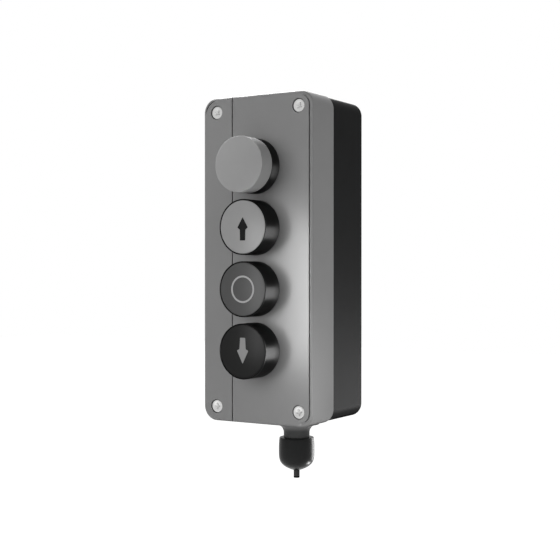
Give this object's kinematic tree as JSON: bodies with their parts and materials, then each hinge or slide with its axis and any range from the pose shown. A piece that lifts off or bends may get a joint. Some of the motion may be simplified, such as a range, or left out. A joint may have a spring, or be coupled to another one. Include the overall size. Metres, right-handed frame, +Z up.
{
  "type": "control station",
  "caption": "Wall-mounted control station: slim two-shell enclosure with a pilot lamp above spring-return push-buttons in a column, and a cable gland below.",
  "frame": {"origin": "centre of the enclosure's back face, on the wall plane", "axes": "+Y out of the back into the wall, -Y towards the person at the operators, +Z up"},
  "size_m": [0.07, 0.0744, 0.214],
  "materials": {
    "base_black": "fine moulded texture",
    "cover_grey": "smooth satin moulding",
    "gloss_black": "polished",
    "matt_black": "satin",
    "lens_grey": "translucent, satin face",
    "plate_grey": "satin",
    "plate_dark": "satin",
    "plate_black": "satin",
    "nut_grey": "moulded",
    "block_grey": "moulded",
    "plunger_white": "moulded",
    "led_clear": "clear",
    "gland_grey": "moulded",
    "cable_black": "smooth sheath",
    "rubber": "matt",
    "steel": "bright zinc",
    "core_black": "insulation",
    "core_brown": "insulation",
    "core_grey": "insulation",
    "core_blue": "insulation"
  },
  "bodies": {
    "station": {"rear_housing": "base_black", "front_cover": "cover_grey", "cover_gasket": "rubber", "lamp_collar": "gloss_black", "lamp_lens": "lens_grey", "lamp_gasket": "rubber", "lamp_nut": "nut_grey", "lamp_adapter": "nut_grey", "lamp_led_block": "block_grey", "lamp_led": "led_clear", "gland_body": "gland_grey", "gland_washer": "rubber", "gland_locknut": "nut_grey", "gland_seal": "rubber", "gland_dome_nut": "matt_black", "cable_sheath": "cable_black", "core_lamp": "core_black", "core_up": "core_brown", "core_stop": "core_grey", "core_down": "core_blue", "cover_screw_1": "steel", "cover_screw_2": "steel", "cover_screw_3": "steel", "cover_screw_4": "steel", "up_bezel": "gloss_black", "up_return_spring": "steel", "up_gasket": "rubber", "up_nut": "nut_grey", "up_adapter": "nut_grey", "up_contact_block": "block_grey", "stop_bezel": "gloss_black", "stop_return_spring": "steel", "stop_gasket": "rubber", "stop_nut": "nut_grey", "stop_adapter": "nut_grey", "stop_contact_block": "block_grey", "down_bezel": "gloss_black", "down_return_spring": "steel", "down_gasket": "rubber", "down_nut": "nut_grey", "down_adapter": "nut_grey", "down_contact_block": "block_grey", "lamp_terminal_1": "steel", "lamp_terminal_2": "steel", "up_terminal_1": "steel", "up_terminal_2": "steel", "stop_terminal_1": "steel", "stop_terminal_2": "steel", "down_terminal_1": "steel", "down_terminal_2": "steel"},
    "up_button": {"up_cap": "matt_black", "up_plate": "plate_grey", "up_plunger": "plunger_white"},
    "stop_button": {"stop_cap": "matt_black", "stop_plate": "plate_dark", "stop_plunger": "plunger_white"},
    "down_button": {"down_cap": "matt_black", "down_plate": "plate_black", "down_plunger": "plunger_white"}
  },
  "joints": [
    {"name": "up_press", "type": "slide", "parent": "station", "child": "up_button", "axis": [0, 1, 0], "range_m": [0, 0.0045], "stiffness_N_per_m": 600, "springref_m": -0.003, "deforming": ["up_return_spring"]},
    {"name": "stop_press", "type": "slide", "parent": "station", "child": "stop_button", "axis": [0, 1, 0], "range_m": [0, 0.0045], "stiffness_N_per_m": 600, "springref_m": -0.003, "deforming": ["stop_return_spring"]},
    {"name": "down_press", "type": "slide", "parent": "station", "child": "down_button", "axis": [0, 1, 0], "range_m": [0, 0.0045], "stiffness_N_per_m": 600, "springref_m": -0.003, "deforming": ["down_return_spring"]}
  ]
}
